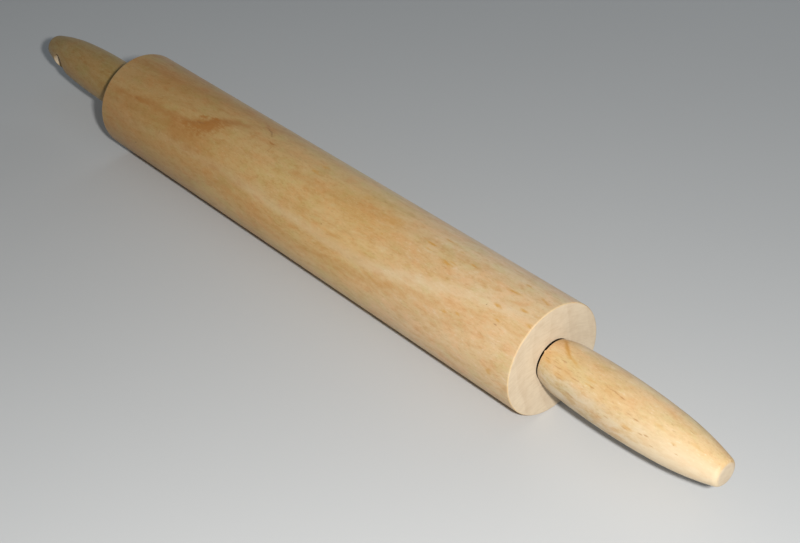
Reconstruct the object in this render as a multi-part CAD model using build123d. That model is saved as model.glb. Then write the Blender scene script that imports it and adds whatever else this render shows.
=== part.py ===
from build123d import *
import os
from math import sqrt

# Rolling pin with a bored barrel that turns on a steel axle in two ball bearings.
# The pin's axis is X. The plain handle is at +X and the handle with the hanging hole at -X.
# The origin is the middle of the barrel, on the axis. Lengths are millimetres, angles degrees.

# Barrel
barrel_length = 258.0
barrel_diameter = 44.4
barrel_edge_radius = 0.5
axle_bore_diameter = 10.4

# Handles
handle_length = 76.1
handle_root_diameter = 16.9
handle_belly_diameter = 21.4
handle_tip_diameter = 10.0
handle_root_edge_radius = 0.5
handle_tip_edge_radius = 2.3
handle_gap = 0.5
# The handle's outline is a long belly arc, between a short shoulder arc and a nose arc tangent to it
root_to_belly = 26.5
belly_arc_radius = 300.0
shoulder_length = 8.0
nose_length = 23.7
# The plain handle is bored a little askew, so that its tip hangs low by this angle
plain_handle_lean = 1.4

# Hanging hole, across one handle
hanging_hole_diameter = 11.0
hanging_hole_to_tip = 15.0
hanging_hole_tilt = 22.0

# Axle rod, glued into a blind hole in each handle
axle_diameter = 6.4
axle_end_bevel = 0.6
axle_length_in_handle = 44.0
glue_room = 1.5
glue_groove_count = 3
glue_groove_width = 1.2
glue_groove_depth = 0.3
glue_groove_pitch = 8.0
first_glue_groove_to_end = 6.0
sleeve_seat_diameter = 10.0
sleeve_seat_depth = 0.2

# Bearings, one pressed into the counterbore at each end of the barrel
bearing_outer_diameter = 16.6
bearing_width = 6.0
bearing_edge_bevel = 0.3
outer_race_land_diameter = 13.8
inner_race_land_diameter = 9.2
ball_count = 7
ball_diameter = 3.0
ball_circle_diameter = 11.5
ball_play = 0.03
groove_radius_share = 0.53

# Ball cages, closed on the inner side of the balls and open on the outer side
cage_wall = 1.1
cage_back_width = 0.7
cage_finger_reach = 0.9
pocket_play = 0.1

# Dust shields in front of the bearings, and the spacer sleeves that pass through them
shield_thickness = 0.5
shield_to_barrel_face = 4.0
sleeve_diameter = 8.8
sleeve_to_shield_play = 0.3

# Cutting tools run past the faces that they cut by this much, and edges are found this closely
cut_overrun = 1.0
edge_match = 0.01

# Sizes that follow from the ones above
half_barrel = barrel_length / 2
root_x = half_barrel + handle_gap
shield_outer_x = half_barrel - shield_to_barrel_face
bearing_outer_x = shield_outer_x - shield_thickness
bearing_inner_x = bearing_outer_x - bearing_width
ball_x = (bearing_outer_x + bearing_inner_x) / 2
ball_radius = ball_diameter / 2
ball_circle_radius = ball_circle_diameter / 2
axle_radius = axle_diameter / 2
sleeve_end_x = root_x + sleeve_seat_depth
axle_half_length = root_x + axle_length_in_handle

os.makedirs("parts", exist_ok=True)


def ring(from_x, to_x, outer_radius, inner_radius=0):
    """A washer, tube or disc on the pin's axis."""
    with BuildPart() as part:
        with BuildSketch(Plane.YZ.offset(from_x)):
            Circle(outer_radius)
            if inner_radius > 0:
                Circle(inner_radius, mode=Mode.SUBTRACT)
        extrude(amount=to_x - from_x)
    return part.part


def turned(outline):
    """A solid turned on the pin's axis from a closed outline in the XY plane."""
    return revolve(make_face(outline), Axis.X)


def edges_at(solid, x, radius):
    """The round edges of a turned solid at one place on the axis."""
    return [edge for edge in solid.edges().filter_by(GeomType.CIRCLE)
            if abs(edge.arc_center.X - x) < edge_match and abs(edge.radius - radius) < edge_match]


def make_barrel():
    """The wooden cylinder with its axle bore and a bearing counterbore in each end."""
    radius = barrel_diameter / 2
    barrel = ring(-half_barrel, half_barrel, radius, axle_bore_diameter / 2)
    for side in (-1, 1):
        barrel = fillet(edges_at(barrel, side * half_barrel, radius), barrel_edge_radius)
        mouth = sorted((side * bearing_inner_x, side * (half_barrel + cut_overrun)))
        barrel = barrel - ring(*mouth, bearing_outer_diameter / 2)
    return barrel


def make_axle():
    """The steel rod, with bevelled ends and ring grooves that hold the glue."""
    axle = ring(-axle_half_length, axle_half_length, axle_radius)
    for side in (-1, 1):
        axle = chamfer(edges_at(axle, side * axle_half_length, axle_radius), axle_end_bevel)
        for number in range(glue_groove_count):
            outer_x = axle_half_length - first_glue_groove_to_end - number * glue_groove_pitch
            span = sorted((side * outer_x, side * (outer_x - glue_groove_width)))
            axle = axle - ring(*span, axle_radius + cut_overrun, axle_radius - glue_groove_depth)
    return axle


def belly_point(from_root):
    """A point of the handle's belly arc, and the arc's direction there towards the tip."""
    from_belly = from_root - root_to_belly
    height = sqrt(belly_arc_radius ** 2 - from_belly ** 2)
    point = (root_x + from_root, handle_belly_diameter / 2 - belly_arc_radius + height)
    return point, (height, -from_belly)


def handle_outline():
    """Half of the handle's long section, from the root's face to the flat tip."""
    root = (root_x, handle_root_diameter / 2)
    tip = (root_x + handle_length, handle_tip_diameter / 2)
    shoulder, uphill = belly_point(shoulder_length)
    top, level = belly_point(root_to_belly)
    nose, downhill = belly_point(handle_length - nose_length)
    back = (-uphill[0], -uphill[1])
    curves = TangentArc(shoulder, root, tangent=back) + ThreePointArc(shoulder, top, nose)
    curves = curves + TangentArc(nose, tip, tangent=downhill)
    return curves + Polyline(tip, (tip[0], 0), (root[0], 0), root)


def make_turned_handle():
    """The turned torpedo handle at the +X end, before it is bored."""
    handle = turned(handle_outline())
    root_edges = edges_at(handle, root_x, handle_root_diameter / 2)
    handle = fillet(root_edges, handle_root_edge_radius)
    tip_edges = edges_at(handle, root_x + handle_length, handle_tip_diameter / 2)
    return fillet(tip_edges, handle_tip_edge_radius)


def bored(handle):
    """The handle at the +X end with the axle's blind hole, and a flat seat for the spacer sleeve."""
    hole_end = root_x + axle_length_in_handle + glue_room
    handle = handle - ring(root_x - cut_overrun, hole_end, axle_radius)
    return handle - ring(root_x - cut_overrun, sleeve_end_x, sleeve_seat_diameter / 2)


def make_plain_handle():
    """The handle at the +X end, which leans a little down from its root."""
    root = Pos(root_x, 0, 0)
    return bored(root * Rot(0, plain_handle_lean, 0) * root.inverse() * make_turned_handle())


def make_hanging_handle():
    """The handle at the -X end, the same turning, drilled across near its tip for hanging."""
    handle = bored(make_turned_handle()).mirror(Plane.YZ)
    hole_x = -(root_x + handle_length - hanging_hole_to_tip)
    drill = Cylinder(hanging_hole_diameter / 2, barrel_diameter)
    drill = Pos(hole_x, 0, 0) * Rot(90 + hanging_hole_tilt, 0, 0) * drill
    return handle - drill


def groove(contact_radius, outward):
    """The turned torus that a raceway's groove is cut with; the balls run against contact_radius."""
    groove_radius = ball_diameter * groove_radius_share
    centre_radius = contact_radius - outward * groove_radius
    with BuildPart() as part:
        with BuildSketch(Plane.XY):
            with Locations((ball_x, centre_radius)):
                Circle(groove_radius)
        revolve(axis=Axis.X)
    return part.part


def make_outer_race():
    """The bearing's outer ring, with its groove inside."""
    outer_radius = bearing_outer_diameter / 2
    race = ring(bearing_inner_x, bearing_outer_x, outer_radius, outer_race_land_diameter / 2)
    race = race - groove(ball_circle_radius + ball_radius + ball_play, 1)
    for x in (bearing_inner_x, bearing_outer_x):
        race = chamfer(edges_at(race, x, outer_radius), bearing_edge_bevel)
    return race


def make_inner_race():
    """The bearing's inner ring, which sits on the axle, with its groove outside."""
    race = ring(bearing_inner_x, bearing_outer_x, inner_race_land_diameter / 2, axle_radius)
    return race - groove(ball_circle_radius - ball_radius - ball_play, -1)


def pocket_angles():
    return [360 * number / ball_count for number in range(ball_count)]


def make_ball_cage():
    """A ring with a pocket for each ball, open towards the barrel's end so that the balls snap in."""
    pocket_radius = ball_radius + pocket_play
    inner_radius = ball_circle_radius - cage_wall / 2
    cage = ring(ball_x - pocket_radius - cage_back_width, ball_x + cage_finger_reach,
                inner_radius + cage_wall, inner_radius)
    for angle in pocket_angles():
        pocket = Cylinder(pocket_radius, barrel_diameter, align=(Align.CENTER, Align.CENTER, Align.MIN))
        cage = cage - Rot(angle, 0, 0) * Pos(ball_x, 0, 0) * pocket
    return cage


def make_balls():
    """The balls of both bearings, each a solid of its own."""
    balls = []
    for side in (-1, 1):
        for angle in pocket_angles():
            balls.append(Rot(angle, 0, 0) * Pos(side * ball_x, 0, ball_circle_radius) * Sphere(ball_radius))
    return Compound(children=balls)


def make_dust_shield():
    """A thin washer in the counterbore that keeps flour out of the bearing."""
    inner_radius = sleeve_diameter / 2 + sleeve_to_shield_play
    return ring(bearing_outer_x, shield_outer_x, bearing_outer_diameter / 2, inner_radius)


def make_spacer_sleeve():
    """The tube on the axle between the inner race and the handle's root."""
    return ring(bearing_outer_x, sleeve_end_x, sleeve_diameter / 2, axle_radius)


def save(name, solid):
    export_step(solid, os.path.join("parts", name + ".step"))


save("barrel", make_barrel())
save("axle_rod", make_axle())
save("plain_handle", make_plain_handle())
save("hanging_handle", make_hanging_handle())
save("bearing_balls", make_balls())
end_pieces = {
    "outer_race": make_outer_race(),
    "inner_race": make_inner_race(),
    "ball_cage": make_ball_cage(),
    "dust_shield": make_dust_shield(),
    "spacer_sleeve": make_spacer_sleeve(),
}
for name, piece in end_pieces.items():
    save(name + "_plain_end", piece)
    save(name + "_hanging_end", piece.mirror(Plane.YZ))
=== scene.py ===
import bpy
import bmesh
import math
from mathutils import Matrix, Vector


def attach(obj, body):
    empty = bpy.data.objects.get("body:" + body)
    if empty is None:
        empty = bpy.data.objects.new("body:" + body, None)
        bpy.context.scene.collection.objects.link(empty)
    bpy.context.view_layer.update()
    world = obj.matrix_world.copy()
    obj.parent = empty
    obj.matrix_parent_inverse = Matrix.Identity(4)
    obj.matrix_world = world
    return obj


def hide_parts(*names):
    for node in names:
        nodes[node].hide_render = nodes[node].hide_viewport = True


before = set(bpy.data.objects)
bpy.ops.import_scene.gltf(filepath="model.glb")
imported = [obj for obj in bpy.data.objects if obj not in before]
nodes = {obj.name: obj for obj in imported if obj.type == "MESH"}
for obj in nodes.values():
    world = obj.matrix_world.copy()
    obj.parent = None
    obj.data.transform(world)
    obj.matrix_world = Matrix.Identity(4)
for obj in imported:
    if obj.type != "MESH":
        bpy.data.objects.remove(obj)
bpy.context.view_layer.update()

# Lengths are metres unless a name ends in _mm. The pin's axis is X, as in the part's source.
mm = 0.001

# Barrel
half_barrel = 129.0 * mm
barrel_radius = 22.2 * mm
barrel_edge = 0.5 * mm
bore_radius = 5.2 * mm
counterbore_radius = 8.3 * mm
counterbore_floor = 118.5 * mm
counterbore_edge = 0.15 * mm

# Handles: a shoulder arc, a long belly arc and a nose arc, tangent to each other
root_x = 129.5 * mm
handle_length = 76.1 * mm
root_radius = 8.45 * mm
belly_radius = 10.7 * mm
tip_radius = 5.0 * mm
root_edge = 0.25 * mm
tip_edge = 2.3 * mm
root_to_belly = 26.5 * mm
belly_arc = 300.0 * mm
shoulder_length = 8.0 * mm
nose_length = 23.7 * mm
rod_radius = 3.2 * mm
rod_hole_depth = 45.5 * mm
sleeve_seat_radius = 5.0 * mm
sleeve_seat_depth = 0.2 * mm
plain_handle_lean = math.radians(1.4)

# Hanging hole, and the patch of the handle's mesh round each of its mouths
hole_radius = 5.5 * mm
hole_to_tip = 15.0 * mm
hole_tilt = math.radians(22.0)
hole_edge = 0.25 * mm
# How much painted shade the hanging hole's wall gets.
hole_wall_painted_shade = 0.12
patch_half_length = 8.5 * mm
patch_half_steps = 26.5
patch_rings = 10
patch_rings_crowding = 1.5
hole_wall_rings = 10

# Bearing balls
ball_count = 7
ball_radius = 1.5 * mm
ball_circle = 5.75 * mm
ball_x = 121.5 * mm

# Camera, at the place from which the photograph was taken
camera_place = Vector((412.1, -317.7, 320.6)) * mm
camera_heading = math.radians(138.90)
camera_pitch = math.radians(33.89)
sensor_width_mm = 36.0
focal_length_mm = 68.43

# How finely the turned pieces are made
barrel_steps_round = 224
handle_steps_round = 160
barrel_row_spacing = 1.25 * mm
handle_row_spacing = 1.0 * mm
inner_row_spacing = 3.0 * mm
edge_steps = 6
support_gap = 0.12 * mm
weld_distance = 0.002 * mm


# Node helpers

class Value:
    """A node's output; arithmetic on it adds Math nodes to the same tree."""

    def __init__(self, socket):
        self.socket = socket

    def __add__(self, other):
        return maths("ADD", self, other)

    def __sub__(self, other):
        return maths("SUBTRACT", self, other)

    def __rsub__(self, other):
        return maths("SUBTRACT", other, self)

    def __mul__(self, other):
        return maths("MULTIPLY", self, other)

    def __truediv__(self, other):
        return maths("DIVIDE", self, other)

    def __rtruediv__(self, other):
        return maths("DIVIDE", other, self)

    def __pow__(self, other):
        return maths("POWER", self, other)


class Outputs:
    """A node's outputs as values, by name or number."""

    def __init__(self, node):
        self.node = node

    def __getitem__(self, name):
        return Value(self.node.outputs[name])


def give(node, inputs):
    """Links a node's inputs to other nodes' outputs, or sets them to plain values."""
    for name, value in inputs.items():
        if isinstance(value, Value):
            node.id_data.links.new(value.socket, node.inputs[name])
        else:
            node.inputs[name].default_value = value


def add(tree, kind, inputs=None, **settings):
    """A new node in a tree."""
    node = tree.nodes.new(kind)
    for name, value in settings.items():
        setattr(node, name, value)
    give(node, inputs or {})
    return Outputs(node)


def after(kind, inputs, **settings):
    """A new node in the tree of the outputs that it is given."""
    tree = next(value.socket.id_data for value in inputs.values() if isinstance(value, Value))
    return add(tree, kind, inputs, **settings)


def maths(operation, *values, clamp=False):
    return after("ShaderNodeMath", dict(enumerate(values)), operation=operation, use_clamp=clamp)[0]


def vectors(operation, *values):
    node = after("ShaderNodeVectorMath", dict(enumerate(values)), operation=operation)
    return node["Value" if operation == "LENGTH" else "Vector"]


def scaled(vector, factor):
    return after("ShaderNodeVectorMath", {0: vector, "Scale": factor}, operation="SCALE")[0]


def stretched(place, share):
    """A place with this share of its distance along X, so that a texture on it runs along the grain."""
    return vectors("MULTIPLY", place, (share, 1.0, 1.0))


def split(vector):
    return after("ShaderNodeSeparateXYZ", {0: vector})


def combined(x=0.0, y=0.0, z=0.0):
    return after("ShaderNodeCombineXYZ", {0: x, 1: y, 2: z})[0]


def between(value, low, high):
    """0 below low, 1 above high, smooth between them."""
    return after("ShaderNodeMapRange", {"Value": value, "From Min": low, "From Max": high},
                 interpolation_type="SMOOTHSTEP")["Result"]


def noise(vector, seed, scale, detail=2.0, roughness=0.5):
    """Noise on a place; the scale is the number of features in each unit of length."""
    return after("ShaderNodeTexNoise", {
        "Vector": vector, "W": seed, "Scale": scale, "Detail": detail, "Roughness": roughness,
    }, noise_dimensions="4D")[0]


def cells(vector, seed, scale):
    """Scattered points: the distance to the nearest, and its own random colour."""
    return after("ShaderNodeTexVoronoi", {"Vector": vector, "W": seed, "Scale": scale},
                 voronoi_dimensions="4D", feature="F1")


def chance_of(colour):
    """A cell's own random number, from 0 to 1."""
    return after("ShaderNodeSeparateColor", {0: colour})[0]


def mix(share, first, second, blend="MIX"):
    """One colour mixed into another."""
    return after("ShaderNodeMix", {0: share, 6: first, 7: second}, data_type="RGBA", blend_type=blend)[2]


def bump(height, strength, distance):
    return after("ShaderNodeBump", {"Strength": strength, "Distance": distance, "Height": height})[0]


def new_group(name, kind, inputs, outputs):
    """A node group and what it is given; each input is a default number or the kind of its socket."""
    tree = bpy.data.node_groups.new(name, kind)
    number_kinds = {int: "Int", float: "Float"}
    for socket_name, value in inputs.items():
        is_number = type(value) in number_kinds
        socket_kind = "NodeSocket" + (number_kinds[type(value)] if is_number else value)
        socket = tree.interface.new_socket(socket_name, in_out="INPUT", socket_type=socket_kind)
        if is_number:
            socket.default_value = value
    output_kind = "NodeSocketGeometry" if kind == "GeometryNodeTree" else "NodeSocketFloat"
    for socket_name in outputs:
        tree.interface.new_socket(socket_name, in_out="OUTPUT", socket_type=output_kind)
    return tree, add(tree, "NodeGroupInput")


def end_group(tree, outputs):
    add(tree, "NodeGroupOutput", outputs)
    return tree


# Geometry trees

def end_piece(tree, geometry, finish):
    """Ends a geometry tree with plain faces that have the given finish."""
    real = after("GeometryNodeRealizeInstances", {"Geometry": geometry})[0]
    return end_group(tree, {0: after("GeometryNodeSetMaterial", {"Geometry": real, "Material": finish})[0]})


def smooth_shaded(geometry):
    return after("GeometryNodeSetShadeSmooth", {"Geometry": geometry, "Shade Smooth": True})[0]


def turning_tree():
    """Turns an outline, a chain of points in the XY plane, round the X axis."""
    tree, given = new_group("turn_an_outline", "GeometryNodeTree", {
        "Outline": "Geometry", "Steps Round": handle_steps_round, "Start Angle": 0.0,
        "Weld Distance": weld_distance, "Finish": "Material",
    }, ["Turned Piece"])
    size = after("GeometryNodeAttributeDomainSize", {"Geometry": given["Outline"]}, component="MESH")
    columns = given["Steps Round"] + 1.0
    grid = after("GeometryNodeMeshGrid", {"Vertices X": size["Point Count"], "Vertices Y": columns})["Mesh"]
    index = add(tree, "GeometryNodeInputIndex")[0]
    row = maths("FLOOR", (index + 0.5) / columns)
    column = index - row * columns
    angle = column / given["Steps Round"] * math.tau + given["Start Angle"]

    def from_outline(kind, value):
        sampled = {"Geometry": given["Outline"], "Value": value, "Index": row}
        return after("GeometryNodeSampleIndex", sampled, data_type=kind, domain="POINT")["Value"]

    point = split(from_outline("FLOAT_VECTOR", add(tree, "GeometryNodeInputPosition")[0]))
    place = combined(point["X"], point["Y"] * maths("COSINE", angle), point["Y"] * maths("SINE", angle))
    geometry = after("GeometryNodeSetPosition", {"Geometry": grid, "Position": place})[0]
    for mark in ("edge", "bored"):
        value = add(tree, "GeometryNodeInputNamedAttribute", {"Name": mark}, data_type="FLOAT")["Attribute"]
        stored = {"Geometry": geometry, "Name": mark, "Value": from_outline("FLOAT", value)}
        geometry = after("GeometryNodeStoreNamedAttribute", stored, data_type="FLOAT", domain="POINT")[0]
    welding = {"Geometry": geometry, "Distance": given["Weld Distance"]}
    return end_piece(tree, after("GeometryNodeMergeByDistance", welding)[0], given["Finish"])


def hand_finish_tree():
    """Takes a little off a turned piece, unevenly, as sanding and use do, with a few shallow dents."""
    tree, given = new_group("sand_and_use", "GeometryNodeTree", {
        "Piece": "Geometry", "Wave Depth": 0.05 * mm, "Wave Length": 24.0 * mm, "Dent Depth": 0.12 * mm,
        "Dent Width": 3.0 * mm, "Dent Spacing": 22.0 * mm, "Seed": 1.0, "Finish": "Material",
    }, ["Used Piece"])
    place = add(tree, "GeometryNodeInputPosition")[0]
    waves = noise(stretched(place, 0.35), given["Seed"], 1.0 / given["Wave Length"], detail=1.0)
    from_dent = cells(place, given["Seed"], 1.0 / given["Dent Spacing"])["Distance"] * given["Dent Spacing"]
    bowl = maths("SUBTRACT", 1.0, from_dent / given["Dent Width"], clamp=True)
    inward = (waves * given["Wave Depth"] + bowl * bowl * given["Dent Depth"]) * -1.0
    offset = scaled(add(tree, "GeometryNodeInputNormal")[0], inward)
    worn = after("GeometryNodeSetPosition", {"Geometry": given["Piece"], "Offset": offset})[0]
    return end_piece(tree, smooth_shaded(worn), given["Finish"])


def ball_rings_tree():
    """Two rings of bearing balls round the X axis, one at each end of the barrel."""
    tree, given = new_group("two_rings_of_balls", "GeometryNodeTree", {
        "Base": "Geometry", "Balls in a Ring": ball_count, "Ball Radius": ball_radius,
        "Ring Radius": ball_circle, "Ring to Middle": ball_x, "Ball Steps": 24, "Finish": "Material",
    }, ["Balls"])
    circle = after("GeometryNodeMeshCircle",
                   {"Vertices": given["Balls in a Ring"], "Radius": given["Ring Radius"]})["Mesh"]
    ball = after("GeometryNodeMeshUVSphere", {
        "Segments": given["Ball Steps"], "Rings": given["Ball Steps"] * 0.5, "Radius": given["Ball Radius"],
    })["Mesh"]
    balls = after("GeometryNodeInstanceOnPoints", {"Points": circle, "Instance": smooth_shaded(ball)})[0]
    joined = add(tree, "GeometryNodeJoinGeometry")
    for side in (1.0, -1.0):
        ring = after("GeometryNodeTransform", {
            "Geometry": balls, "Translation": combined(given["Ring to Middle"] * side),
            "Rotation": (0.0, -math.pi / 2, 0.0),
        })
        give(joined.node, {0: ring[0]})
    return end_piece(tree, joined[0], given["Finish"])


def made_by(tree, name, mesh, values):
    """Runs a geometry tree on a mesh and returns the piece as a plain mesh object."""
    piece = bpy.data.objects.new(name, mesh)
    bpy.context.scene.collection.objects.link(piece)
    modifier = piece.modifiers.new("tree", "NODES")
    modifier.node_group = tree
    identifiers = {socket.name: socket.identifier for socket in tree.interface.items_tree}
    for socket_name, value in values.items():
        modifier[identifiers[socket_name]] = value
    evaluated = piece.evaluated_get(bpy.context.evaluated_depsgraph_get())
    result = bpy.data.meshes.new_from_object(evaluated)
    piece.modifiers.clear()
    piece.data = result
    result.name = name
    return piece


# Outlines: chains of points, each as (along X, radius, edge mark, bored mark)

def arc_through(centre, start, end, steps):
    """Points on an arc about a centre, from one point to another, the short way round."""
    first = math.atan2(start[1] - centre[1], start[0] - centre[0])
    swing = math.atan2(end[1] - centre[1], end[0] - centre[0]) - first
    swing = (swing + math.pi) % math.tau - math.pi
    radius = math.hypot(start[0] - centre[0], start[1] - centre[1])
    angles = [first + swing * number / steps for number in range(steps + 1)]
    return [(centre[0] + radius * math.cos(a), centre[1] + radius * math.sin(a)) for a in angles]


def rounded(before, corner, after_corner, radius, worn=1.0, steps=edge_steps):
    """A rounded corner of an outline: its points, with a support point just before and after it."""
    to_before = (Vector(before) - Vector(corner)).normalized()
    to_after = (Vector(after_corner) - Vector(corner)).normalized()
    half_angle = to_before.angle(to_after) / 2
    tangent = radius / math.tan(half_angle)
    centre = Vector(corner) + (to_before + to_after).normalized() * radius / math.sin(half_angle)
    start = Vector(corner) + to_before * tangent
    end = Vector(corner) + to_after * tangent
    first = (*(start + to_before * support_gap), 0.0, 0.0)
    arc = [(*point, worn, 0.0) for point in arc_through(centre, start, end, steps)]
    last = (*(end + to_after * support_gap), 0.0, 0.0)
    return [first, *arc, last]


def run(start, end, spacing, bored=0.0):
    """Points between two places on a straight run, without its ends."""
    count = max(1, round(math.hypot(end[0] - start[0], end[1] - start[1]) / spacing))
    points = []
    for number in range(1, count):
        share = number / count
        x = start[0] + (end[0] - start[0]) * share
        radius = start[1] + (end[1] - start[1]) * share
        points.append((x, radius, 0.0, bored))
    return points


def outline_mesh(name, points, side=1):
    """A chain of outline points as a mesh, with the marks for its edges and its bored faces."""
    mesh = bpy.data.meshes.new(name)
    mesh.from_pydata([(side * point[0], point[1], 0.0) for point in points],
                     [(n, n + 1) for n in range(len(points) - 1)], [])
    for column, mark in ((2, "edge"), (3, "bored")):
        attribute = mesh.attributes.new(mark, "FLOAT", "POINT")
        attribute.data.foreach_set("value", [point[column] for point in points])
    return mesh


def barrel_outline():
    """The barrel's long section on one side of the axis, a closed chain."""
    halves = []
    for side in (-1, 1):
        x = side * half_barrel
        floor_x = side * counterbore_floor
        mouth = (x, counterbore_radius)
        rim = (x, barrel_radius)
        near_mouth = (x, counterbore_radius + counterbore_edge + support_gap)
        half = rounded((0.0, barrel_radius), rim, mouth, barrel_edge)
        half += run(half[-1], near_mouth, inner_row_spacing / 2)
        half += rounded(rim, mouth, (floor_x, counterbore_radius), counterbore_edge)
        half += run(half[-1], (floor_x, counterbore_radius), inner_row_spacing, bored=1.0)
        half += [(floor_x, counterbore_radius, 0.0, 1.0), (floor_x, bore_radius, 0.0, 1.0)]
        halves.append(half)
    left, right = halves
    outside = run(left[0], right[0], barrel_row_spacing)
    inside = run(right[-1], left[-1], inner_row_spacing, bored=1.0)
    chain = outside + right + inside + left[::-1]
    return chain + [chain[0]]


def belly_height(from_root):
    return belly_radius - belly_arc + math.sqrt(belly_arc ** 2 - (from_root - root_to_belly) ** 2)


def tangent_arc_centre(start, tangent, end):
    """The centre of the arc that leaves a point along a tangent and goes through another point."""
    chord = Vector(end) - Vector(start)
    across = Vector((-tangent[1], tangent[0])).normalized()
    return Vector(start) + across * chord.length_squared / (2 * across.dot(chord))


def handle_arcs():
    """The handle's three arcs, each as (where it ends, its centre, a point on it), from the root's face."""
    root = (0.0, root_radius)
    tip = (handle_length, tip_radius)
    shoulder = (shoulder_length, belly_height(shoulder_length))
    nose_x = handle_length - nose_length
    nose = (nose_x, belly_height(nose_x))
    centre = Vector((root_to_belly, belly_radius - belly_arc))
    uphill = Vector((shoulder[1] - centre.y, centre.x - shoulder[0]))
    downhill = Vector((nose[1] - centre.y, centre.x - nose[0]))
    shoulder_centre = tangent_arc_centre(shoulder, -uphill, root)
    nose_centre = tangent_arc_centre(nose, downhill, tip)
    return [(shoulder_length, shoulder_centre, root), (nose_x, centre, (root_to_belly, belly_radius)),
            (handle_length, nose_centre, tip)]


def handle_radius(from_root):
    """The handle's radius at a distance from its root."""
    for end, centre, point in handle_arcs():
        if from_root <= end:
            reach = math.hypot(point[0] - centre.x, point[1] - centre.y)
            return centre.y + math.sqrt(reach ** 2 - (from_root - centre.x) ** 2)


def handle_outline():
    """The handle's long section on one side of the axis, from the bottom of the rod's hole to the tip."""
    seat = (0.0, sleeve_seat_radius)
    near_root = (root_edge, handle_radius(root_edge))
    near_tip = (handle_length - tip_edge, handle_radius(handle_length - tip_edge))
    tip_middle = (handle_length, 0.0)
    points = [(rod_hole_depth, 0.0, 0.0, 1.0), (rod_hole_depth, rod_radius, 0.0, 1.0)]
    points += run(points[-1], (sleeve_seat_depth, rod_radius), inner_row_spacing, bored=1.0)
    points += [(sleeve_seat_depth, rod_radius, 0.0, 1.0), (sleeve_seat_depth, sleeve_seat_radius, 0.0, 1.0)]
    points += [(*seat, 0.0, 0.0)]
    points += run(seat, (0.0, root_radius - root_edge), handle_row_spacing)
    points += rounded(seat, (0.0, root_radius), near_root, root_edge)
    tip_corner = rounded(near_tip, (handle_length, tip_radius), tip_middle, tip_edge, worn=0.0,
                         steps=2 * edge_steps)
    start = points[-1][0]
    count = round((tip_corner[0][0] - start) / handle_row_spacing)
    for number in range(1, count):
        x = start + (tip_corner[0][0] - start) * number / count
        points.append((x, handle_radius(x), 0.0, 0.0))
    points += tip_corner
    points += run(tip_corner[-1], tip_middle, handle_row_spacing / 2)
    points += [(*tip_middle, 0.0, 0.0)]
    return [(root_x + x, r, edge, bored) for x, r, edge, bored in points]


# Mesh work on the turned pieces

def point_outwards(mesh):
    """Merges doubles and makes the faces of a closed piece point outwards."""
    work = bmesh.new()
    work.from_mesh(mesh)
    bmesh.ops.remove_doubles(work, verts=work.verts, dist=weld_distance)
    bmesh.ops.recalc_face_normals(work, faces=work.faces)
    work.to_mesh(mesh)
    work.free()


def drill_hanging_hole(mesh):
    """Drills the hanging hole: each mouth's patch of the handle becomes rings that run into the hole."""
    hole_x = -(root_x + handle_length - hole_to_tip)
    outward = Vector((0.0, -math.cos(hole_tilt), -math.sin(hole_tilt)))
    across = outward.cross(Vector((1.0, 0.0, 0.0)))
    patch_half_turn = math.radians(360.0 / handle_steps_round) * patch_half_steps
    work = bmesh.new()
    work.from_mesh(mesh)
    edge_layer = work.verts.layers.float["edge"]
    bored_layer = work.verts.layers.float["bored"]

    # Each new ring: the share of the way from the patch's rim to a radius, the depth and the edge mark
    steps = []
    for number in range(1, patch_rings + 1):
        share = 1.0 - (1.0 - number / patch_rings) ** patch_rings_crowding
        steps.append((share, hole_radius + hole_edge, 0.0, 0.0))
    for number in range(1, edge_steps + 1):
        bend = math.pi / 2 * number / edge_steps
        radius = hole_radius + hole_edge * (1.0 - math.sin(bend))
        steps.append((1.0, radius, hole_edge * (1.0 - math.cos(bend)), 1.0))

    def lies_in_patch(vertex, facing):
        height = vertex.co.dot(facing)
        side = vertex.co.dot(across)
        if abs(vertex.co.x - hole_x) > patch_half_length:
            return False
        return math.hypot(height, side) > rod_radius and abs(math.atan2(side, height)) < patch_half_turn

    def surface_point(u, v, facing, depth):
        x = hole_x + u
        radius = handle_radius(-x - root_x)
        height = math.sqrt(max(radius ** 2 - v ** 2, 0.0)) - depth
        return Vector((x, 0.0, 0.0)) + across * v + facing * height

    def mouth_rings(facing):
        """Clears one mouth's patch and returns its rim and the new rings inside it."""
        inner = [v for v in work.verts if lies_in_patch(v, facing)]
        hollow = set(f for v in inner for f in v.link_faces
                     if all(lies_in_patch(w, facing) for w in f.verts))
        rim = set(v for f in hollow for v in f.verts)
        bmesh.ops.delete(work, geom=list(hollow), context="FACES_ONLY")
        loose = [v for v in rim if not v.link_faces]
        rim = [v for v in rim if v.link_faces]
        bmesh.ops.delete(work, geom=loose, context="VERTS")
        for edge in [e for e in work.edges if not e.link_faces]:
            work.edges.remove(edge)
        places = sorted((math.atan2(v.co.dot(across), v.co.x - hole_x),
                         math.hypot(v.co.dot(across), v.co.x - hole_x), v.index, v) for v in rim)
        rings = [[place[3] for place in places]]
        for share, radius, depth, edge_mark in steps:
            ring = []
            for angle, reach, index, vertex in places:
                r = reach + (radius - reach) * share
                point = surface_point(r * math.cos(angle), r * math.sin(angle), facing, depth)
                ring.append(work.verts.new(point))
                ring[-1][edge_layer] = edge_mark
            rings.append(ring)
        return rings

    mouths = [mouth_rings(outward), mouth_rings(-outward)]
    first, second = mouths[0][-1], mouths[1][-1]
    if len(first) != len(second):
        raise ValueError("the hanging hole's two mouths don't match")
    wall = [first]
    for number in range(1, hole_wall_rings):
        share = number / hole_wall_rings
        ring = [work.verts.new(a.co.lerp(b.co, share)) for a, b in zip(first, second)]
        # The hole's wall gets a little painted shade.
        for vertex in ring:
            vertex[bored_layer] = hole_wall_painted_shade
        wall.append(ring)
    wall.append(second)
    for rings in (*mouths, wall):
        for outer, inner in zip(rings, rings[1:]):
            for n in range(len(outer)):
                work.faces.new((outer[n - 1], outer[n], inner[n], inner[n - 1]))
    work.to_mesh(mesh)
    work.free()
    point_outwards(mesh)


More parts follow.
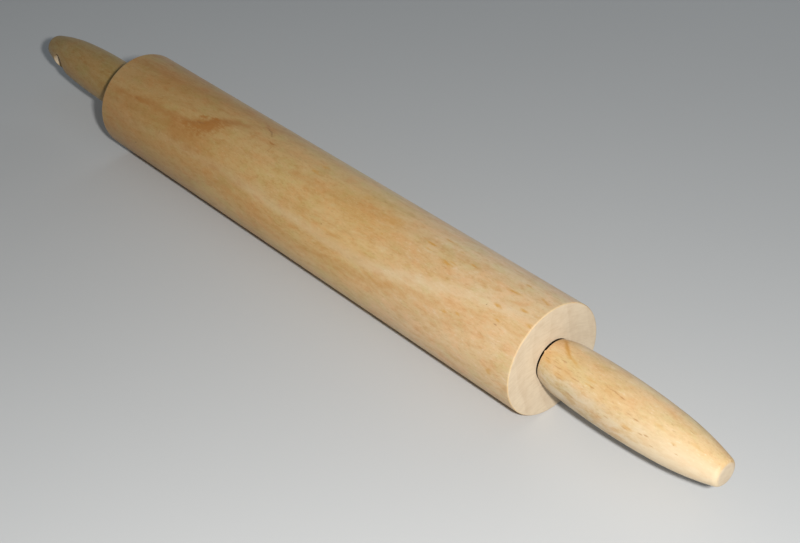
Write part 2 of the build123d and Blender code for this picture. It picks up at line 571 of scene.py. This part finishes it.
def lean_from_root(mesh, lean):
    """Leans a handle down about its root; its bored faces stay in line with the axle."""
    bored = mesh.attributes["bored"].data
    root = Vector((root_x, 0.0, 0.0))
    turn = Matrix.Rotation(lean, 3, "Y")
    for vertex in mesh.vertices:
        if bored[vertex.index].value < 0.5:
            vertex.co = root + turn @ (vertex.co - root)


def chip(mesh, place, radius, push, steepness=1.6):
    """Presses a small chip into an edge: points near the place move by up to the push."""
    centre = Vector(place)
    for vertex in mesh.vertices:
        share = 1.0 - (vertex.co - centre).length / radius
        if share > 0.0:
            vertex.co += Vector(push) * min(1.0, steepness * share)


# Shader groups

def grain_group():
    """Wide soft bands, mottle, streaks, fine fibres and hue, all longer along X than across."""
    # Each figure: its share of the distance along X, features per mm, detail and roughness
    figures = {
        "Bands": (0.22, 0.07, 2.0, 0.5), "Mottle": (0.34, 0.45, 4.0, 0.68),
        "Streaks": (0.10, 0.8, 3.0, 0.6), "Fibres": (0.28, 2.2, 3.0, 0.7), "Hue": (0.5, 0.16, 5.0, 0.72),
    }
    tree, given = new_group("long_grain", "ShaderNodeTree", {"Place mm": "Vector", "Seed": 0.0}, figures)
    bend = noise(stretched(given["Place mm"], 0.4), given["Seed"], scale=0.035, detail=1.0)
    sway = vectors("MULTIPLY", combined(0.0, bend, bend), (0.0, 7.0, 7.0))
    swayed = vectors("ADD", given["Place mm"], sway)
    return end_group(tree, {
        name: noise(stretched(swayed, share), given["Seed"], scale, detail, roughness)
        for name, (share, scale, detail, roughness) in figures.items()
    })


def rings_group():
    """Growth rings about a pith that lies outside the piece and leans a little to its axis."""
    tree, given = new_group("growth_rings", "ShaderNodeTree", {
        "Place mm": "Vector", "Pith Y mm": 60.0, "Pith Z mm": 20.0, "Lean": 0.075, "Ring Width mm": 9.0,
        "Seed": 0.0,
    }, ["Late Wood"])
    parts = split(given["Place mm"])
    wobble = (noise(stretched(given["Place mm"], 0.25), given["Seed"], scale=0.045) - 0.5) * 9.0
    y = parts["Y"] - parts["X"] * given["Lean"] - given["Pith Y mm"]
    z = parts["Z"] - given["Pith Z mm"]
    phase = maths("FRACT", (vectors("LENGTH", combined(0.0, y, z)) + wobble) / given["Ring Width mm"])
    rise = between(phase, 0.25, 0.93)
    fall = between(phase, 0.93, 1.0)
    return end_group(tree, {"Late Wood": maths("SUBTRACT", rise ** 2.0, fall, clamp=True)})


def pores_group():
    """Short open vessels: fine dashes on side grain, and dots on end grain."""
    tree, given = new_group("open_vessels", "ShaderNodeTree", {
        "Place mm": "Vector", "Spacing mm": 1.4, "Length Share": 0.12, "Width Share": 0.16,
        "Kept Share": 0.4, "Soft From": 0.55, "Seed": 0.0,
    }, ["Vessels"])
    flat = vectors("MULTIPLY", given["Place mm"], combined(given["Length Share"], 1.0, 1.0))
    vessels = cells(flat, given["Seed"], 1.0 / given["Spacing mm"])
    dash = 1.0 - between(vessels["Distance"] / given["Width Share"], given["Soft From"], 1.0)
    crowd = noise(stretched(given["Place mm"], 0.4), given["Seed"], scale=0.07, detail=1.0)
    wanted = given["Kept Share"] * (between(crowd, 0.36, 0.66) * 2.0)
    return end_group(tree, {"Vessels": dash * maths("LESS_THAN", chance_of(vessels["Color"]), wanted)})


def end_grain_group():
    """Where a face is cut across the grain, and what shows on it there."""
    tree, given = new_group("end_grain", "ShaderNodeTree", {"Place mm": "Vector", "Seed": 0.0},
                            ["Across", "Mottle", "Saw Marks", "Specks"])
    place = given["Place mm"]
    facing = maths("ABSOLUTE", split(add(tree, "ShaderNodeTexCoord")["Normal"])["X"])
    parts = split(place)
    bend = parts["Y"] * parts["Y"] * 0.012
    sawn = combined(0.0, parts["Y"] * 0.24, (parts["Z"] + bend) * 1.5)
    specks = cells(place, given["Seed"], scale=0.8)
    dot = 1.0 - between(specks["Distance"], 0.08, 0.16)
    return end_group(tree, {
        "Across": between(facing, 0.82, 0.993),
        "Mottle": noise(place, given["Seed"], scale=0.3, detail=3.0, roughness=0.6),
        "Saw Marks": noise(sawn, given["Seed"], scale=0.9, detail=3.0, roughness=0.6),
        "Specks": dot * maths("LESS_THAN", chance_of(specks["Color"]), 0.16),
    })


def mark_group():
    """One long mark in the wood, at a place along the pin and a place round it."""
    tree, given = new_group("placed_mark", "ShaderNodeTree", {
        "Along mm": 0.0, "Around mm": 0.0, "Centre Along mm": 0.0, "Centre Around mm": 0.0,
        "Half Length mm": 2.0, "Half Width mm": 0.4, "Slant": 0.0, "Ragged": 0.0,
    }, ["Mark"])
    along = given["Along mm"] - given["Centre Along mm"]
    around = given["Around mm"] - given["Centre Around mm"] - along * given["Slant"]
    spot = combined(along / given["Half Length mm"], around / given["Half Width mm"])
    reach = vectors("LENGTH", spot) + given["Ragged"]
    return end_group(tree, {"Mark": 1.0 - between(reach, 0.1, 1.0)})


groups = {
    "grain": grain_group(), "rings": rings_group(), "vessels": pores_group(),
    "end": end_grain_group(), "mark": mark_group(),
}


def place_group(name, inputs):
    return after("ShaderNodeGroup", inputs, node_tree=groups[name])


def new_material(name):
    """A material, its shader, and the place on the piece in millimetres."""
    material = bpy.data.materials.new(name)
    material.use_nodes = True
    place = add(material.node_tree, "ShaderNodeTexCoord")["Object"]
    return material, material.node_tree.nodes["Principled BSDF"], scaled(place, 1.0 / mm)


# Wood

pale_wood = (0.63, 0.445, 0.228, 1.0)
honey_wood = (0.56, 0.335, 0.125, 1.0)
brown_grain = (0.38, 0.195, 0.065, 1.0)
fleck_orange = (0.48, 0.235, 0.060, 1.0)
vessel_brown = (0.26, 0.120, 0.040, 1.0)
bleached_wood = (0.67, 0.540, 0.365, 1.0)
fleck_gold = (0.53, 0.285, 0.072, 1.0)
stain_brown = (0.37, 0.150, 0.028, 1.0)
end_wood = (0.62, 0.505, 0.360, 1.0)
end_wood_dark = (0.49, 0.37, 0.245, 1.0)
edge_wood = (0.58, 0.45, 0.28, 1.0)
# Painted shade for bored faces inside the counterbores, the rod holes and the hanging hole.
painted_bore_shade = (0.12, 0.055, 0.020, 1.0)

# Tints that multiply the wood's colour. The end and middle tints paint the light's falloff along the pin;
# the handle tint and the low-side tint are painted shade.
painted_falloff_middle_tint = (0.995, 0.960, 0.835, 1.0)
painted_light_near_end_tint = (1.0, 1.015, 1.11, 1.0)
painted_shade_and_dark_end_tint = (0.70, 0.610, 0.465, 1.0)
painted_shade_and_dark_handle_tint = (0.62, 0.605, 0.465, 1.0)
painted_shade_low_side_tint = (0.82, 0.86, 0.92, 1.0)
rosy_tint = (1.04, 0.97, 0.95, 1.0)
green_tint = (0.95, 1.01, 0.95, 1.0)
sheen_tint = (0.88, 0.95, 1.0, 1.0)


def wood(name, seed, rings, vessels, mottled, fibrous, figure):
    """A pale close-grained wood with its grain along X; mottled and fibrous say how strongly."""
    material, surface, place = new_material(name)
    grain = place_group("grain", {"Place mm": place, "Seed": seed})
    late = place_group("rings", {"Place mm": place, "Seed": seed, **rings})["Late Wood"]
    dashes = place_group("vessels", {"Place mm": place, "Seed": seed, **vessels})["Vessels"]
    end = place_group("end", {"Place mm": place, "Seed": seed})
    side_grain = 1.0 - end["Across"]
    warm = between(grain["Bands"] * 0.7 + grain["Mottle"] * 0.3, 0.36, 0.64)
    colour = mix(warm * 0.75, pale_wood, honey_wood)
    colour = mix(late * 0.12, colour, brown_grain)
    colour = mix(between(grain["Mottle"], 0.47, 0.72) * mottled, colour, fleck_orange)
    colour = mix(between(grain["Mottle"], 0.45, 0.24) * 0.30, colour, bleached_wood)
    colour = mix(between(grain["Streaks"], 0.5, 0.8) * (0.3 * fibrous), colour, brown_grain)
    colour = mix(between(grain["Fibres"], 0.50, 0.74) * fibrous, colour, brown_grain)
    colour = mix(between(grain["Fibres"], 0.45, 0.28) * fibrous, colour, bleached_wood)
    colour = mix(dashes * (1.2 * fibrous), colour, vessel_brown)
    colour = mix(between(grain["Hue"], 0.50, 0.62), colour, rosy_tint, "MULTIPLY")
    colour = mix(between(grain["Hue"], 0.50, 0.38), colour, green_tint, "MULTIPLY")
    colour = figure(place, colour, side_grain, grain)
    cut = mix(between(end["Mottle"], 0.35, 0.7) * 0.35, end_wood, end_wood_dark)
    cut = mix(between(end["Saw Marks"], 0.42, 0.72) * 0.38, cut, end_wood_dark)
    cut = mix(late * 0.08, cut, vessel_brown)
    cut = mix(end["Specks"] * 0.25, cut, vessel_brown)
    colour = mix(end["Across"], colour, cut)
    # Bored faces get painted shade, dark brown as the recesses look in shade.
    for mark, share, tint in (("edge", 0.25, edge_wood), ("bored", 0.85, painted_bore_shade)):
        marked = add(material.node_tree, "ShaderNodeAttribute", attribute_name=mark)["Fac"]
        colour = mix(marked * share, colour, tint)
    rough = grain["Mottle"] * 0.16 + 0.50 + dashes * 0.15
    side_height = (grain["Fibres"] * 0.7 - dashes * 0.9) * side_grain
    cut_height = end["Saw Marks"] + end["Mottle"] * 0.3 - end["Specks"] * 0.6
    give(surface, {
        "Base Color": colour,
        "Roughness": maths("ADD", rough, end["Across"] * 0.26, clamp=True),
        "Normal": bump(side_height + cut_height * end["Across"], strength=0.7, distance=0.05 * mm),
        "Specular IOR Level": 0.35, "Sheen Weight": 0.06, "Sheen Roughness": 0.45, "Sheen Tint": sheen_tint,
    })
    return material


def curve_along(share, points):
    """A value that follows a smooth curve through points, given the share of the way along."""
    curve_node = after("ShaderNodeFloatCurve", {"Value": share})
    mapping = curve_node.node.mapping
    curve = mapping.curves[0]
    while len(curve.points) < len(points):
        curve.points.new(0.5, 0.5)
    for point, (x, y) in zip(curve.points, points):
        point.location = (x, y)
        point.handle_type = "AUTO"
    mapping.update()
    return curve_node[0]


def soft_flecks(place, side_grain, seed, kept):
    """Soft orange flecks, a few millimetres long."""
    return side_grain * place_group("vessels", {
        "Place mm": place, "Spacing mm": 5.0, "Length Share": 0.22, "Width Share": 0.085,
        "Kept Share": kept, "Soft From": 0.1, "Seed": seed,
    })["Vessels"]


def with_marks(colour, along, around, side_grain, radius, raggedness, tinted_marks):
    """Marks in the wood: each is mm along, degrees round, half length, half width, strength, any slant."""
    torn = noise(stretched(combined(along, around), 0.4), seed=12.0, scale=1.1, detail=3.0, roughness=0.65)
    ragged = (torn - 0.5) * raggedness
    for tint, marks in tinted_marks:
        for x, degrees, half_length, half_width, strength, *slant in marks:
            mark = place_group("mark", {
                "Along mm": along, "Around mm": around, "Centre Along mm": x,
                "Centre Around mm": math.radians(degrees) * radius / mm, "Half Length mm": half_length,
                "Half Width mm": half_width, "Slant": slant[0] if slant else 0.0, "Ragged": ragged,
            })["Mark"]
            colour = mix(mark * side_grain * strength, colour, tint)
    return colour


def barrel_figure(place, colour, side_grain, grain):
    """The growth lines, the stain and the separate flecks that show on the barrel's upper side."""
    parts = split(place)
    along = parts["X"]
    angle = maths("ARCTAN2", parts["Z"], parts["Y"] * -1.0)
    # Painted light falloff along the barrel: darker, more saturated wood towards the far end is painted
    # shade, partly the wood's own darker tone; the middle is more saturated and the near end paler and
    # bluer as painted light.
    colour = mix(between(along, 90.0, -150.0), colour, painted_shade_and_dark_end_tint, "MULTIPLY")
    middle = between(along, -140.0, -90.0) * between(along, 80.0, 35.0)
    colour = mix(middle, colour, painted_falloff_middle_tint, "MULTIPLY")
    colour = mix(between(along, 30.0, 75.0), colour, painted_light_near_end_tint, "MULTIPLY")
    upper_near_end = between(along, -20.0, 125.0) * between(angle, math.radians(25.0), math.radians(65.0))
    flecks = soft_flecks(place, side_grain, seed=21.0, kept=upper_near_end * 0.35 + 0.10)
    colour = mix(flecks * 0.6, colour, fleck_orange)
    ripple = noise(stretched(place, 0.35), seed=5.0, scale=0.22, detail=3.0, roughness=0.6)
    around = angle * (barrel_radius / mm) + (ripple - 0.5) * 3.2
    share = (along + half_barrel / mm) / (2 * half_barrel / mm)
    least_degrees = -20.0
    span_degrees = 140.0

    def line(centres, strengths, upper_mm, lower_mm):
        """A line whose angle and strength both follow curves over the share of the way along."""
        spots = [(x, (degrees - least_degrees) / span_degrees) for x, degrees in centres]
        centre = curve_along(share, spots) * span_degrees + least_degrees
        offset = around - centre * (math.radians(1.0) * barrel_radius / mm)
        band = between(offset, upper_mm, 0.0) * between(offset, -lower_mm, 0.0)
        return band * curve_along(share, strengths) * side_grain

    stain = line(
        [(0.0, 38.0), (0.08, 43.5), (0.12, 47.5), (0.17, 48.0), (0.21, 50.0), (0.245, 57.0), (0.27, 68.0),
         (0.30, 78.0), (0.33, 85.0), (0.36, 100.0), (0.42, 118.0), (1.0, 118.0)],
        [(0.0, 0.30), (0.09, 0.55), (0.17, 0.60), (0.21, 0.70), (0.25, 0.95), (0.28, 0.85), (0.33, 0.45),
         (0.38, 0.25), (0.45, 0.0), (1.0, 0.0)], upper_mm=3.2, lower_mm=4.2)
    ring_line = line(
        [(0.0, 0.0), (0.3, 14.0), (0.45, 9.0), (0.58, 6.0), (0.68, 12.5), (0.775, 24.0), (0.87, 37.5),
         (1.0, 50.0)],
        [(0.0, 0.15), (0.3, 0.25), (0.5, 0.15), (0.6, 0.50), (0.7, 0.55), (0.85, 0.40), (1.0, 0.25)],
        upper_mm=2.6, lower_mm=5.5)
    pale_line = line(
        [(0.0, 10.0), (0.3, 25.0), (0.5, 24.5), (0.68, 25.0), (0.775, 36.0), (0.87, 51.0), (1.0, 65.0)],
        [(0.0, 0.05), (0.3, 0.25), (0.45, 0.45), (0.6, 0.55), (0.75, 0.75), (0.85, 0.75), (1.0, 0.3)],
        upper_mm=4.2, lower_mm=2.8)
    broken = maths("ADD", 0.55, between(grain["Mottle"], 0.35, 0.65) * 0.9, clamp=True)
    stain = stain * broken
    colour = mix(pale_line * 0.42, colour, bleached_wood)
    colour = mix(ring_line * broken * 0.85, colour, fleck_orange)
    colour = mix(stain * 0.85, colour, stain_brown)
    colour = mix(stain ** 3.0 * 0.4, colour, vessel_brown)
    stain_marks = [
        (-72, 36, 26, 7, 0.36), (-61, 58, 13, 7, 0.9, 0.45), (-57.6, 29.4, 3, 1.2, 0.4),
        (-91, 33, 3.4, 0.8, 0.45), (-59.3, 70.5, 3.4, 1.1, 1, 0.1), (-26.7, 81.7, 2.8, 0.9, 0.85),
        (-98.9, 77.7, 1.6, 0.7, 0.6), (-66, 66, 3, 0.9, 0.7, 0.35), (-73, 49, 5, 1.2, 0.6, 0.1),
        (-105, 44, 9, 1.4, 0.5), (-38, 100, 8, 1.6, 0.45, -0.4), (-45, 84, 6, 1.4, 0.3, 0.2),
        (-93, 80, 10, 4, 0.18), (-112, 66, 8, 3, 0.15),
    ]
    gold_marks = [
        (49.9, 78, 8, 3.2, 0.5), (31.8, 86, 4, 2.6, 0.5), (2.1, 79.4, 3.4, 1.2, 0.9),
        (2.6, 91.7, 4, 1.2, 0.8), (70.9, 79, 3.8, 1, 1), (74.8, 93.9, 4.6, 0.8, 0.8),
        (82.5, 67.7, 4.8, 1.4, 1), (84.7, 72.8, 2.4, 0.7, 0.8), (91.6, 82, 2.4, 0.7, 0.9),
        (83, 88, 2, 0.7, 0.7), (112.6, 80.5, 4.6, 0.7, 1, 0.08), (113.9, 96, 2.4, 0.9, 0.9),
        (111.8, 59.4, 2.4, 0.9, 0.9), (115.2, 48.3, 2.2, 0.9, 1), (121.7, 68.8, 2.8, 0.8, 0.8),
        (123.8, 89.4, 3.6, 0.9, 0.8, -0.15), (119.5, 0.6, 1.8, 1.5, 0.7), (93.7, 29, 2, 0.7, 0.8),
        (99.7, 33.9, 2, 0.7, 0.8), (50.7, 60, 1, 0.5, 0.7), (127.5, 58, 2, 1, 0.8),
        (72, 71, 2.6, 0.6, 0.6),
    ]
    brown_marks = [
        (-34, 94, 6, 0.8, 0.55, -0.55), (-24.5, 71, 0.35, 2.4, 0.4), (-84.7, 24, 0.4, 2.4, 0.4),
        (115.6, 43.9, 1.2, 0.4, 0.6), (107.9, 55.7, 0.4, 0.35, 0.9), (22.8, 35.4, 0.4, 0.35, 0.8),
        (-65, 59, 4, 0.5, 0.5, 0.35), (-102, -5, 1, 0.5, 0.8, 0.3), (-107, 44, 1.6, 0.5, 0.4),
    ]
    tinted_marks = [(stain_brown, stain_marks), (fleck_gold, gold_marks), (vessel_brown, brown_marks)]
    return with_marks(colour, along, around, side_grain, barrel_radius, 2.0, tinted_marks)


def handle_figure(place, colour, side_grain, grain):
    """The brown V of a growth ring, longer pore streaks, the bleached lower side of the plain handle and
    painted shade on that side near the root.
    """
    parts = split(place)
    from_root = parts["X"] - root_x / mm
    height = parts["Z"] + from_root * math.tan(plain_handle_lean)
    angle = maths("ARCTAN2", height, parts["Y"] * -1.0)
    around = angle * (belly_radius / mm)
    colour = mix(0.12, colour, bleached_wood)
    low_side = between(around, 9.0, -1.0)
    bleached = low_side * between(grain["Mottle"], 0.62, 0.36)
    colour = mix(bleached * side_grain * 0.75, colour, bleached_wood)
    paler = between(around, 13.0, 4.0) * between(from_root, 30.0, 62.0)
    colour = mix(paler * side_grain * 0.65, colour, bleached_wood)
    # Painted shade: the lower side is darkened towards the root.
    colour = mix(low_side * between(from_root, 55.0, 15.0), colour, painted_shade_low_side_tint, "MULTIPLY")
    flecks = soft_flecks(place, side_grain, seed=33.0, kept=0.10)
    colour = mix(flecks * 0.45, colour, fleck_orange)
    rising = between(angle, math.radians(15.0), math.radians(35.0))
    falling = between(angle, math.radians(78.0), math.radians(60.0))
    crowded = rising * falling * between(from_root, 30.0, 10.0)
    fine = place_group("vessels", {
        "Place mm": place, "Spacing mm": 1.0, "Length Share": 0.16, "Width Share": 0.2, "Kept Share": 0.9,
        "Soft From": 0.2, "Seed": 51.0,
    })["Vessels"]
    colour = mix(fine * crowded * side_grain * 0.8, colour, fleck_orange)
    around = around + (noise(place, seed=3.0, scale=0.5) - 0.5) * 0.8
    gold_marks = [
        (4.6, 93, 4.2, 1.9, 0.9, -0.96), (8, 77.5, 4.4, 1.6, 0.9, -0.64),
        (12.6, 66, 5.2, 1.1, 0.6, -0.37), (2, 104, 3, 4, 0.5), (11, 27, 4.2, 1.6, 0.6),
        (4, 38, 3, 1, 0.6), (5, 60, 5, 1.2, 0.35), (22.5, 52, 3.2, 1.2, 0.45), (42, 14, 3, 1.4, 0.55),
        (31, 54, 8, 2.2, 0.25), (3, 48, 5, 2.6, 0.35), (13, 39, 9, 2.6, 0.3, -0.1),
        (52.5, 52, 4, 1, 0.35), (66, 62, 4, 1.6, 0.3), (59.5, 38, 1.6, 0.7, 0.45), (23, 43, 3, 0.5, 0.5),
    ]
    brown_marks = [
        (2.3, 55, 1.2, 0.36, 0.6), (9.7, 55, 2.2, 0.36, 0.7, -0.05), (7, 45.5, 2.4, 0.33, 0.5),
        (3.2, 42.5, 1.8, 0.36, 0.55), (9, 38.5, 3, 0.36, 0.55, 0.05), (17.3, 37.7, 2.6, 0.33, 0.6),
        (24.4, 43.3, 1.5, 0.34, 0.7), (33, 58.8, 5, 0.39, 0.6, -0.04),
        (36, 57.2, 1.8, 0.39, 0.85, -0.05), (41, 39.7, 2, 0.34, 0.6), (44.2, 37.7, 2, 0.44, 0.85),
        (47.6, 18.2, 1.4, 0.39, 0.65), (49.7, 21.7, 1.4, 0.44, 0.75, 0.08), (33.8, 10, 1.8, 0.39, 0.5),
        (41.5, 11.5, 2, 0.34, 0.5), (17, 5, 3.6, 0.59, 0.55, -0.15), (61.7, 84.7, 2.2, 0.36, 0.5),
        (57, 59.8, 1.5, 0.34, 0.5), (11, 22.5, 2.4, 0.39, 0.55), (10.5, 28.5, 2.2, 0.34, 0.5),
        (61.5, 21, 1.1, 0.39, 0.5), (52.5, 8, 1.2, 0.39, 0.5), (59.4, 36, 0.6, 0.39, 0.6),
        (1.8, 62, 1.2, 0.34, 0.4), (75.8, 120, 0.45, 1.8, 1),
    ]
    ring_marks = [(5, 92, 3.6, 0.9, 0.8, -0.93), (8.6, 76, 3.6, 0.7, 0.5, -0.6)]
    tinted_marks = [(fleck_gold, gold_marks), (fleck_orange, ring_marks), (brown_grain, brown_marks)]
    return with_marks(colour, from_root, around, side_grain, belly_radius, 1.1, tinted_marks)


def hanging_handle_figure_with_painted_shade(place, colour, side_grain, grain):
    """The hanging handle's wood is darkened all over, mostly as painted shade and partly as the wood's own
    darker tone, with a few flecks.
    """
    # Painted shade over the whole hanging handle.
    colour = mix(1.0, colour, painted_shade_and_dark_handle_tint, "MULTIPLY")
    flecks = soft_flecks(place, side_grain, seed=45.0, kept=0.18)
    return mix(flecks * 0.5, colour, fleck_orange)


barrel_finish = wood(
    "bare_barrel_wood", seed=2.0, mottled=0.40, fibrous=0.42, figure=barrel_figure,
    rings={"Pith Y mm": 60.0, "Pith Z mm": 20.0, "Lean": 0.075, "Ring Width mm": 9.0},
    vessels={"Spacing mm": 2.2, "Length Share": 0.11, "Width Share": 0.10, "Kept Share": 0.16})
plain_handle_finish = wood(
    "bare_plain_handle_wood", seed=7.0, mottled=0.36, fibrous=0.60, figure=handle_figure,
    rings={"Pith Y mm": -14.0, "Pith Z mm": 34.0, "Lean": 0.12, "Ring Width mm": 6.0},
    vessels={"Spacing mm": 1.1, "Length Share": 0.12, "Width Share": 0.11, "Kept Share": 0.50})
hanging_handle_finish = wood(
    "bare_hanging_handle_wood", seed=11.0, mottled=0.52, fibrous=0.50, figure=hanging_handle_figure_with_painted_shade,
    rings={"Pith Y mm": 30.0, "Pith Z mm": 16.0, "Lean": -0.09, "Ring Width mm": 5.0},
    vessels={"Spacing mm": 1.3, "Length Share": 0.10, "Width Share": 0.10, "Kept Share": 0.36})


# Steel and nylon of the inner pieces

def turned_metal(name, colour, dull_colour, roughness, lines_per_mm, direction):
    """Steel with fine tool lines in one direction, and faint dull patches of old oil."""
    material, surface, place = new_material(name)
    lines = noise(vectors("MULTIPLY", place, direction), seed=1.0, scale=lines_per_mm, roughness=0.6)
    patches = noise(place, seed=4.0, scale=0.3, detail=3.0, roughness=0.6)
    shade = mix(between(patches, 0.45, 0.75) * 0.5, colour, dull_colour)
    give(surface, {
        "Base Color": mix(between(lines, 0.4, 0.7) * 0.2, shade, dull_colour),
        "Metallic": 1.0, "Roughness": patches * 0.15 + roughness,
        "Normal": bump(lines, strength=0.3, distance=0.01 * mm),
    })
    return material


def moulded_nylon(name):
    """Off-white nylon with a fine mould texture and a slightly oily shine."""
    material, surface, place = new_material(name)
    cloud = noise(place, seed=6.0, scale=0.7, detail=3.0, roughness=0.6)
    fine = noise(place, seed=8.0, scale=6.0)
    give(surface, {
        "Base Color": mix(between(cloud, 0.35, 0.7), fresh_nylon, yellowed_nylon),
        "Roughness": cloud * 0.2 + 0.32, "Normal": bump(fine, strength=0.25, distance=0.02 * mm),
    })
    return material


bright_steel = (0.62, 0.62, 0.61, 1.0)
dull_steel = (0.40, 0.39, 0.37, 1.0)
ball_steel = (0.70, 0.70, 0.70, 1.0)
# Painted shade: the dark brown steel of the shield and the sleeve, seen through the gap round the handle's
# root.
painted_shade_steel = (0.16, 0.095, 0.062, 1.0)
painted_shade_dull_steel = (0.12, 0.062, 0.036, 1.0)
fresh_nylon = (0.78, 0.74, 0.64, 1.0)
yellowed_nylon = (0.66, 0.60, 0.48, 1.0)
lines_along = (0.05, 1.0, 1.0)
lines_round = (1.0, 0.12, 0.12)
lines_on_face = (0.2, 1.0, 0.15)
no_direction = (1.0, 1.0, 1.0)
# Each: name, colour, dull colour, roughness, tool lines per mm and their direction
rod_finish = turned_metal("drawn_rod_steel", bright_steel, dull_steel, 0.28, 3.0, lines_along)
race_finish = turned_metal("ground_race_steel", bright_steel, dull_steel, 0.18, 5.0, lines_round)
ball_finish = turned_metal("polished_ball_steel", ball_steel, bright_steel, 0.06, 1.5, no_direction)
# The shield and the sleeve are dark brown as painted shade deep in the counterbore.
shield_finish = turned_metal("pressed_shield_steel", painted_shade_steel, painted_shade_dull_steel, 0.42, 3.0, lines_on_face)
sleeve_finish = turned_metal("cut_sleeve_steel", painted_shade_steel, painted_shade_dull_steel, 0.38, 4.0, lines_round)
cage_finish = moulded_nylon("moulded_cage_nylon")


# Pieces

turning = turning_tree()
hand_finish = hand_finish_tree()


def turned_piece(name, points, side, steps, finish, start_angle=0.0):
    """A closed piece turned from an outline, on one side of the barrel's middle or the other."""
    piece = made_by(turning, name + "_turning", outline_mesh(name + "_outline", points, side), {
        "Steps Round": steps, "Start Angle": start_angle, "Finish": finish,
    })
    point_outwards(piece.data)
    return piece


def used(piece, finish, seed, waves, dents):
    """The turned piece after use; waves are a depth and a length, dents a depth, a width and a spacing."""
    name = piece.name
    mesh = piece.data
    bpy.data.objects.remove(piece)
    values = {"Wave Depth": waves[0], "Wave Length": waves[1], "Dent Depth": dents[0],
              "Dent Width": dents[1], "Dent Spacing": dents[2], "Seed": seed, "Finish": finish}
    return made_by(hand_finish, name, mesh, values)


barrel = turned_piece("barrel", barrel_outline(), side=1, steps=barrel_steps_round, finish=barrel_finish)
barrel = used(barrel, barrel_finish, seed=3.0, waves=(0.05 * mm, 26.0 * mm),
              dents=(0.10 * mm, 2.6 * mm, 24.0 * mm))
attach(barrel, "barrel")
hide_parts("barrel")

plain = turned_piece("plain_handle", handle_outline(), side=1, steps=handle_steps_round,
                     finish=plain_handle_finish)
lean_from_root(plain.data, plain_handle_lean)
plain = used(plain, plain_handle_finish, seed=5.0, waves=(0.06 * mm, 18.0 * mm),
             dents=(0.08 * mm, 2.0 * mm, 17.0 * mm))
chip_angle = math.radians(52.0)
chip_place = (root_x, -root_radius * math.cos(chip_angle), root_radius * math.sin(chip_angle))
chip(plain.data, chip_place, radius=0.6 * mm, push=(-0.35 * mm, -0.08 * mm, 0.1 * mm))
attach(plain, "handles_and_axle")
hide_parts("plain_handle")

hanging = turned_piece("hanging_handle", handle_outline(), side=-1, steps=handle_steps_round,
                       finish=hanging_handle_finish, start_angle=math.pi + hole_tilt)
drill_hanging_hole(hanging.data)
hanging = used(hanging, hanging_handle_finish, seed=9.0, waves=(0.06 * mm, 18.0 * mm),
               dents=(0.08 * mm, 2.0 * mm, 19.0 * mm))
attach(hanging, "handles_and_axle")
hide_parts("hanging_handle")

balls = made_by(ball_rings_tree(), "bearing_ball_sets", bpy.data.meshes.new("balls_base"), {
    "Balls in a Ring": ball_count, "Ball Radius": ball_radius, "Ring Radius": ball_circle,
    "Ring to Middle": ball_x, "Finish": ball_finish,
})
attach(balls, "ball_sets")
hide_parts("bearing_balls")

carried_over = {
    "axle_rod": rod_finish, "outer_race": race_finish, "inner_race": race_finish,
    "ball_cage": cage_finish, "dust_shield": shield_finish, "spacer_sleeve": sleeve_finish,
}
for node_name, node_object in nodes.items():
    for start, finish in carried_over.items():
        if node_name.startswith(start):
            node_object.data.materials.clear()
            node_object.data.materials.append(finish)


# Floor, light and camera

floor_pale = (0.56, 0.56, 0.555, 1.0)
floor_grey = (0.53, 0.53, 0.526, 1.0)


def pale_floor():
    """A plain pale floor under the barrel."""
    half_width = 4.0
    signs = ((-1, -1), (1, -1), (1, 1), (-1, 1))
    corners = [(half_width * x, half_width * y, -barrel_radius) for x, y in signs]
    mesh = bpy.data.meshes.new("floor")
    mesh.from_pydata(corners, [], [(0, 1, 2, 3)])
    floor = bpy.data.objects.new("floor", mesh)
    bpy.context.scene.collection.objects.link(floor)
    material, surface, place = new_material("pale_floor")
    cloud = noise(place, seed=0.0, scale=0.004, detail=3.0)
    give(surface, {"Base Color": mix(cloud, floor_pale, floor_grey), "Roughness": 0.85})
    mesh.materials.append(material)


def soft_light(name, place, target, size, watts, colour):
    """A soft square light that faces the target."""
    data = bpy.data.lights.new(name, "AREA")
    data.shape = "SQUARE"
    data.size = size
    data.energy = watts
    data.color = colour
    light = bpy.data.objects.new(name, data)
    bpy.context.scene.collection.objects.link(light)
    light.location = place
    light.rotation_euler = (Vector(target) - Vector(place)).to_track_quat("-Z", "Y").to_euler()
    light.visible_camera = False


def photograph_camera():
    data = bpy.data.cameras.new("photograph_camera")
    data.sensor_fit = "HORIZONTAL"
    data.sensor_width = sensor_width_mm
    data.lens = focal_length_mm
    data.clip_start = 10.0 * mm
    data.clip_end = 50.0
    camera = bpy.data.objects.new("photograph_camera", data)
    bpy.context.scene.collection.objects.link(camera)
    camera.location = camera_place
    camera.rotation_euler = (math.pi / 2 - camera_pitch, 0.0, camera_heading - math.pi / 2)
    bpy.context.scene.camera = camera


def studio_air(strength, colour):
    world = bpy.data.worlds.new("studio_air")
    world.use_nodes = True
    give(world.node_tree.nodes["Background"], {"Color": (*colour, 1.0), "Strength": strength})
    bpy.context.scene.world = world


pale_floor()
soft_light("key_softbox", place=(0.474, -0.286, 0.348), target=(0.10, 0.0, 0.0), size=0.028, watts=4.3,
           colour=(0.985, 0.985, 0.975))
soft_light("wide_softbox", place=(1.00, -0.70, 0.90), target=(0.03, 0.0, 0.0), size=0.6, watts=0.6,
           colour=(1.0, 0.985, 0.96))
soft_light("back_softbox", place=(-0.5, 1.3, 0.28), target=(0.0, 0.0, 0.0), size=0.5, watts=3.6,
           colour=(0.86, 0.93, 1.0))
studio_air(strength=0.165, colour=(0.84, 0.93, 1.0))
photograph_camera()
bpy.context.scene.view_settings.view_transform = "Standard"
